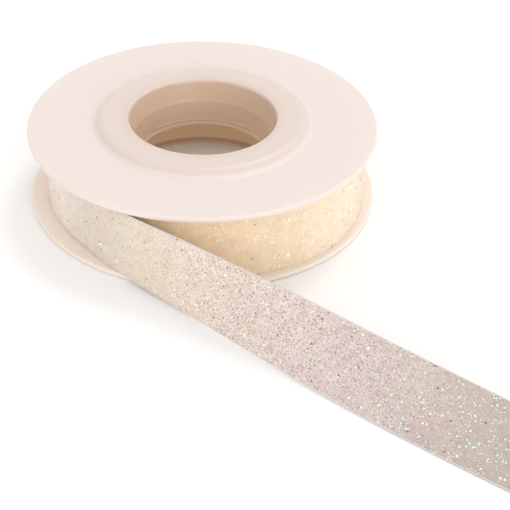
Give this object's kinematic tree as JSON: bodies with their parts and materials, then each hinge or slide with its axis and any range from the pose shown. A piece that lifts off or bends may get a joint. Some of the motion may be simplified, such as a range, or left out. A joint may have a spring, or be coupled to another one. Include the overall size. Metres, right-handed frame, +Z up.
{
  "type": "roll of glitter ribbon",
  "caption": "Two-part flanged plastic spool lying flat, wound with glitter ribbon whose loose end runs off to one side and leans back onto the table.",
  "frame": {"origin": "on the surface that the roll lies on, under the middle of the whole roll and its loose end", "axes": "+Z up along the spool's axis, +X the way the loose end runs"},
  "size_m": [0.1504, 0.078, 0.0196],
  "materials": {
    "spool_plastic": "moulded warm white plastic, slightly milky, satin gloss",
    "wound_glitter": "cream glitter ribbon, wound in many turns, pearl flakes with mint and pink glints",
    "loose_glitter": "cream glitter ribbon with pearl flakes, pink and mint glints, plain narrow edges"
  },
  "bodies": {
    "root": {"spool_lower_half": "spool_plastic", "spool_upper_half": "spool_plastic", "wound_ribbon": "wound_glitter", "ribbon_tail": "loose_glitter"}
  },
  "joints": []
}
